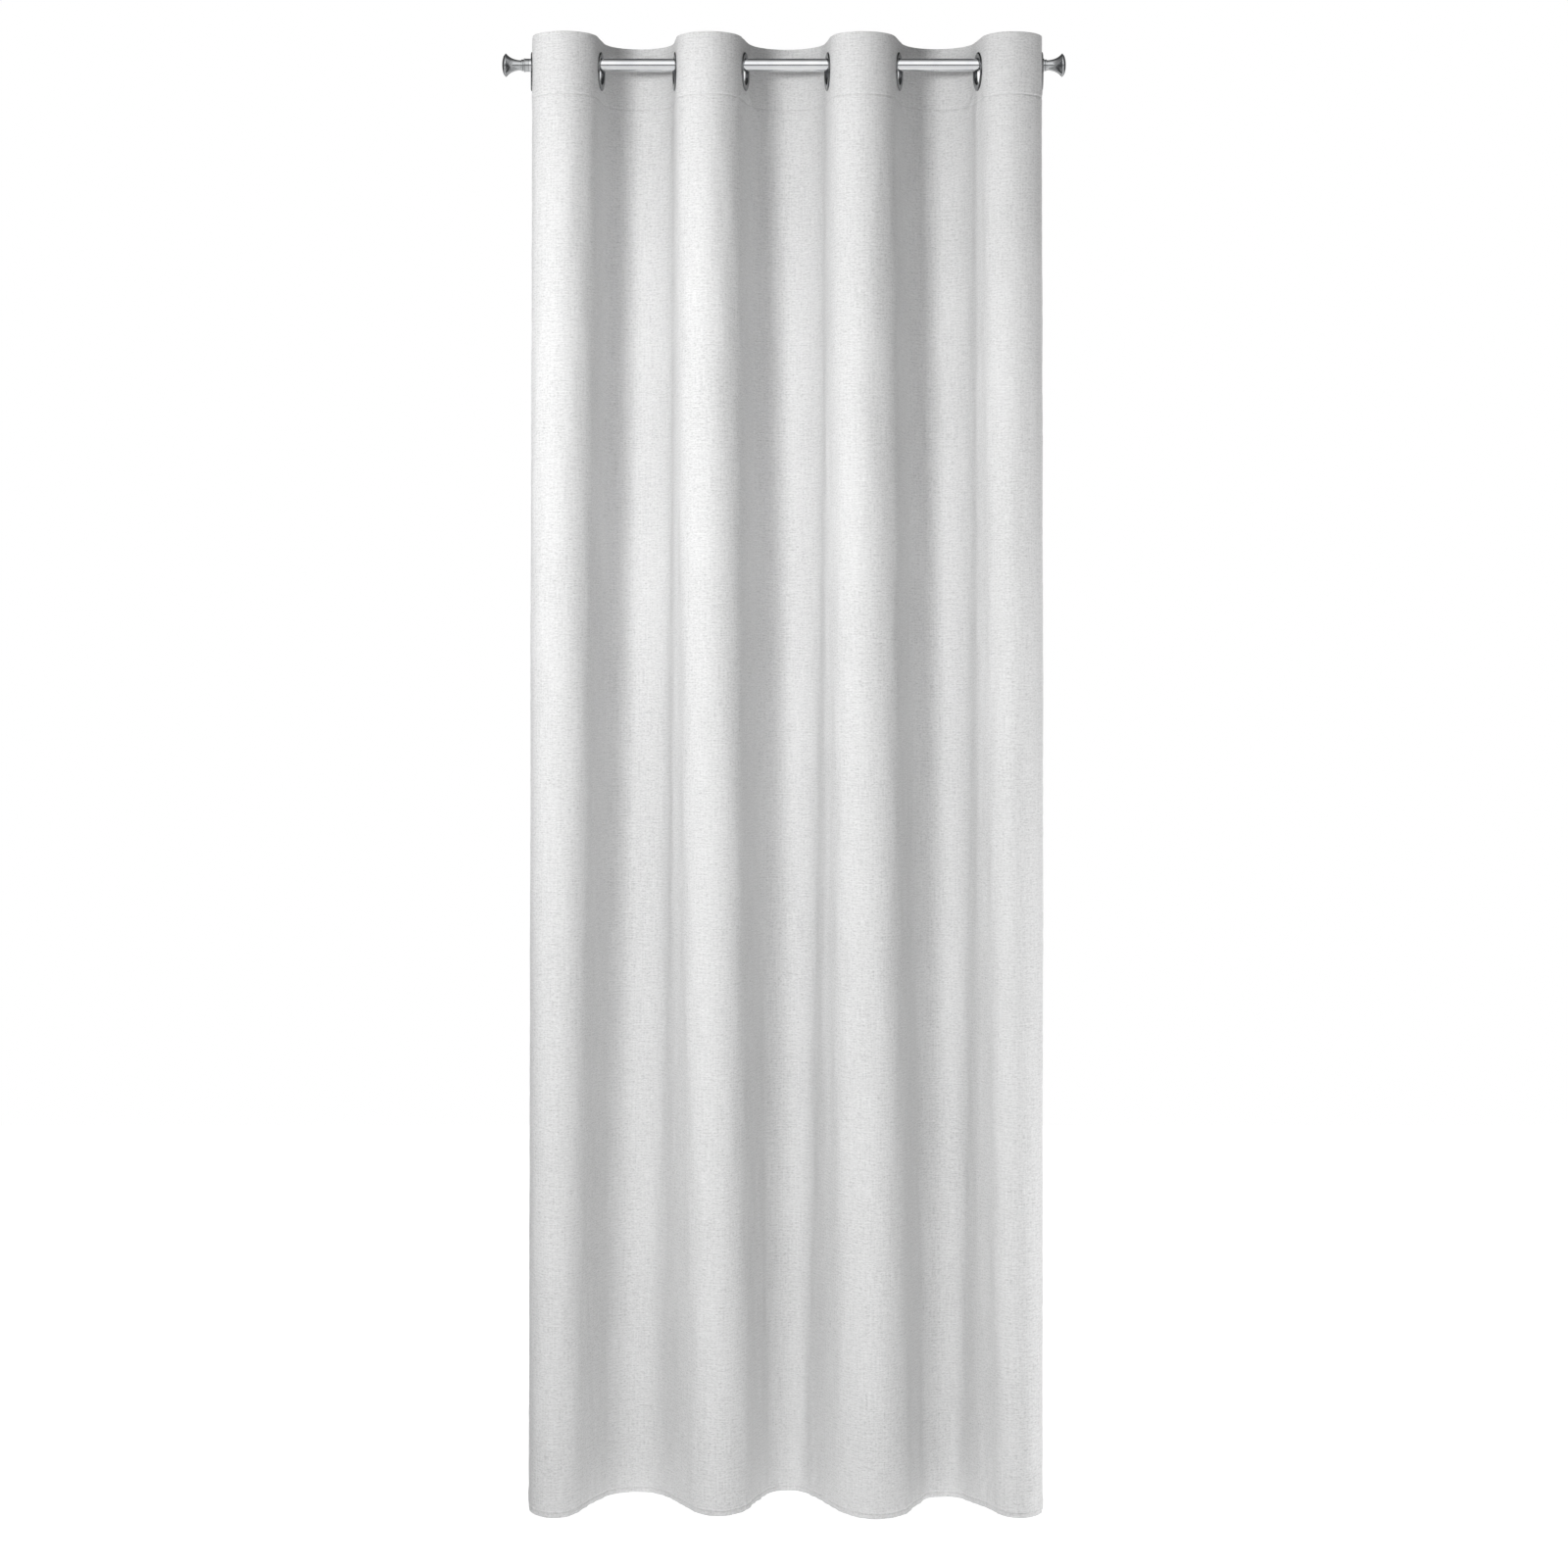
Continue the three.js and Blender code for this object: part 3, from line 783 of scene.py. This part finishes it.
def make_rod(material):
    """The rod's tube, with chamfered ends."""
    inner = ROD_RADIUS - 1.2 * MM
    chamfer = 0.3 * MM
    profile = [(inner, -ROD_END), (ROD_RADIUS - chamfer, -ROD_END), (ROD_RADIUS, -ROD_END + chamfer)]
    profile += [(ROD_RADIUS, ROD_END - chamfer), (ROD_RADIUS - chamfer, ROD_END), (inner, ROD_END)]
    rod = turned_piece("rod_tube", profile, True, material, (1, 0, 0), (0, 0, 0))
    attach(rod, "rod")
    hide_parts("curtain_rod")


def quadratic(start, bend, end, steps):
    """Points of a curve from start to end that heads for bend on its way."""
    points = []
    for t in np.linspace(0, 1, steps):
        shares = ((1 - t) ** 2, 2 * t * (1 - t), t * t)
        points.append(tuple(sum(s * p[k] for s, p in zip(shares, (start, bend, end))) for k in (0, 1)))
    return points


def finial_profile():
    """(radius, distance past the rod's end) along the finial's outline, from the spigot's tip on."""
    low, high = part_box("finial_right")
    length = high.x - ROD_END
    rim_radius = (high.z - low.z) / 2
    spigot_radius, spigot_tip = 6 * MM, -34 * MM
    neck_radius, collar = 8.4 * MM, 7 * MM
    ring_radius, ring_end = ROD_RADIUS + 0.6 * MM, collar + 2.4 * MM
    neck, rim = ring_end + 5.6 * MM, length - 6.5 * MM
    # Spigot and collar
    profile = [(0, spigot_tip), (spigot_radius - 0.5 * MM, spigot_tip)]
    profile += [(spigot_radius, spigot_tip + 0.5 * MM), (spigot_radius, 0.3 * MM)]
    profile += [(ROD_RADIUS - 0.3 * MM, 0.3 * MM), (ROD_RADIUS, 0.6 * MM), (ROD_RADIUS, collar)]
    # Raised ring, groove and bead
    profile += arc((ring_radius - 0.6 * MM, collar + 1.3 * MM), (0.6 * MM, 1.1 * MM), -90, 90, 8)
    profile += [(neck_radius + 0.6 * MM, ring_end + 0.4 * MM)]
    profile += arc((neck_radius + 0.4 * MM, ring_end + 2.6 * MM), (1.2 * MM, 1.7 * MM), -80, 80, 10)
    # Trumpet, its rolled rim and the shallow dome that closes it
    bend = (neck_radius + 1 * MM, (neck + rim) / 2 + 4 * MM)
    profile += quadratic((neck_radius, neck), bend, (rim_radius - 0.4 * MM, rim - 0.6 * MM), 22)
    profile += arc((rim_radius - 0.9 * MM, rim + 0.4 * MM), (0.9 * MM, 0.9 * MM), -30, 70, 6)
    profile += arc((0, rim + 0.6 * MM), (rim_radius - 1.2 * MM, length - rim - 0.6 * MM), 8, 90, 16)[:-1]
    return profile + [(0, length)]


def make_finial(end, side, material):
    """One finial, pointing away from its end of the rod."""
    piece = turned_piece(f"finial_{end}_trumpet", finial_profile(), False, material,
                         (side, 0, 0), (side * ROD_END, 0, 0), 30)
    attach(piece, f"{end}_finial")
    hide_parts(f"finial_{end}")


# ---------------------------------------------------------------- floor, light and camera

def make_floor():
    """A plain pale floor. Its glow lights the cloth from below and whitens it for the camera."""
    n = Nodes("floor_white")
    n.shader.inputs["Base Color"].default_value = (0.9, 0.9, 0.9, 1)
    n.shader.inputs["Roughness"].default_value = 0.9
    n.shader.inputs["Emission Color"].default_value = (1, 1, 1, 1)
    seen = n.add("ShaderNodeLightPath").outputs["Is Camera Ray"]
    n.link(n.spread(seen, 0, 1, FLOOR_GLOW, FLOOR_SEEN), n.shader.inputs["Emission Strength"])
    half, z = FLOOR_HALF_WIDTH, HEM_Z - FLOOR_BELOW_HEM
    corners = [(-half, -half, z), (half, -half, z), (half, half, z), (-half, half, z)]
    floor = new_object("floor", corners, [[0, 1, 2, 3]], n.material)


def make_light(name, place, aim, size, power, spread=180):
    """A soft lamp, hidden from the camera and from mirror-like reflections.

    The place, the point it aims at and its size are in metres, its power in watts and its spread,
    the angle of its cone of light, in degrees.
    """
    light = bpy.data.lights.new(name, "AREA")
    light.shape = "RECTANGLE"
    light.size, light.size_y = size
    light.energy = power
    light.spread = math.radians(spread)
    lamp = bpy.data.objects.new(name, light)
    lamp.visible_camera = False
    lamp.visible_glossy = False
    lamp.location = place
    lamp.rotation_euler = (Vector(aim) - Vector(place)).to_track_quat("-Z", "Y").to_euler()
    bpy.context.scene.collection.objects.link(lamp)


def band_colour(tree):
    """The grey of BANDS for a direction's angle about the rod's line."""
    add, link = tree.nodes.new, tree.links.new
    split = add("ShaderNodeSeparateXYZ")
    link(add("ShaderNodeTexCoord").outputs["Generated"], split.inputs["Vector"])
    toward_room = add("ShaderNodeMath")
    toward_room.operation = "MULTIPLY"
    toward_room.inputs[1].default_value = -1
    link(split.outputs["Y"], toward_room.inputs[0])
    around_rod = add("ShaderNodeMath")
    around_rod.operation = "ARCTAN2"
    link(split.outputs["Z"], around_rod.inputs[0])
    link(toward_room.outputs[0], around_rod.inputs[1])
    share = add("ShaderNodeMapRange")
    share.inputs["From Min"].default_value = -math.pi
    share.inputs["From Max"].default_value = math.pi
    link(around_rod.outputs[0], share.inputs["Value"])
    ramp = add("ShaderNodeValToRGB")
    fill_ramp(ramp, [((degrees + 180) / 360, (level, level, level)) for degrees, level in BANDS])
    link(share.outputs["Result"], ramp.inputs["Fac"])
    return ramp.outputs["Color"]


def make_world():
    """White to the camera, an even fill for matt surfaces, and studio bands for polished ones."""
    world = bpy.data.worlds.new("studio")
    world.use_nodes = True
    bpy.context.scene.world = world
    tree = world.node_tree
    tree.nodes.clear()
    add, link = tree.nodes.new, tree.links.new
    output = add("ShaderNodeOutputWorld")
    rays = add("ShaderNodeLightPath")
    white, fill, bands = (add("ShaderNodeBackground") for _ in range(3))
    white.inputs["Color"].default_value = (1, 1, 1, 1)
    fill.inputs["Color"].default_value = (1, 1, 1, 1)
    fill.inputs["Strength"].default_value = WORLD_FILL
    bands.inputs["Strength"].default_value = BAND_STRENGTH
    link(band_colour(tree), bands.inputs["Color"])
    glossy, seen = add("ShaderNodeMixShader"), add("ShaderNodeMixShader")
    link(rays.outputs["Is Glossy Ray"], glossy.inputs["Fac"])
    link(fill.outputs[0], glossy.inputs[1])
    link(bands.outputs[0], glossy.inputs[2])
    link(rays.outputs["Is Camera Ray"], seen.inputs["Fac"])
    link(glossy.outputs[0], seen.inputs[1])
    link(white.outputs[0], seen.inputs[2])
    link(seen.outputs[0], output.inputs["Surface"])


def make_camera():
    """Level, square to the rod, above the panel's middle; the shift frames the whole panel.

    The distance, the eye's height, the width in view at the rod and the view's middle are in metres.
    """
    camera = bpy.data.cameras.new("camera")
    camera.sensor_width = 36
    distance, eye_z, view_width, view_middle_z = 6.5, -1.13, 2.68, -1.2285
    camera.lens = camera.sensor_width * distance / view_width
    camera.shift_y = (view_middle_z - eye_z) / view_width
    holder = bpy.data.objects.new("camera", camera)
    holder.location = (0, -distance, eye_z)
    holder.rotation_euler = (math.pi / 2, 0, 0)
    bpy.context.scene.collection.objects.link(holder)
    bpy.context.scene.camera = holder
    bpy.context.scene.view_settings.view_transform = "Standard"


# ---------------------------------------------------------------- the scene

make_camera()
make_world()
make_floor()
make_light("key", (-2.0, -4.3, -0.3), (-0.35, 0, -0.5), (0.9, 0.6), 12.4, spread=54)
make_light("left_fill", (-3.6, -2.1, 0.2), (0, 0, -0.35), (0.5, 1.0), 6.0, spread=70)
make_light("low_front", (-0.1, -4.5, -2.2), (0.1, 0, -2.1), (0.8, 0.5), 5.6, spread=57)
make_light("right_edge", (2.0, 0.02, -1.7), (0.4, 0, -1.7), (0.12, 2.0), 17)
make_light("behind", (1.9, 4.3, -0.4), (0, 0, -1.15), (1.2, 1.0), 10, spread=75)

linen = linen_material()
chrome = metal_material("chrome", (0.70, 0.71, 0.73), (0.82, 0.83, 0.84), 0.05, 0.12, 30)
finial_chrome = metal_material("finial_chrome", (0.46, 0.47, 0.48), (0.58, 0.59, 0.60), 0.12, 0.2, 30)
nickel = metal_material("dark_nickel", (0.15, 0.155, 0.16), (0.24, 0.245, 0.25), 0.12, 0.24, 45)

hung = Cloth()
curtain = make_cloth(hung, linen)
stitching = make_stitching(hung, thread_material())
rings = [half for index in range(EYELETS) for half in make_eyelet(index, nickel)]
make_rod(chrome)
for rod_end, direction in (("left", -1), ("right", 1)):
    make_finial(rod_end, direction, finial_chrome)
    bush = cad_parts[f"rod_bush_{rod_end}"]
    bush.data.materials.clear()
    bush.data.materials.append(nylon_material())

for piece in (curtain, stitching):
    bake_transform(piece)
folds = [f"fabric_fold_{k + 1}" for k in range(EYELETS - 1)]
tapes = [f"header_tape_{k + 1}" for k in range(EYELETS - 1)]
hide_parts(*folds, *tapes)
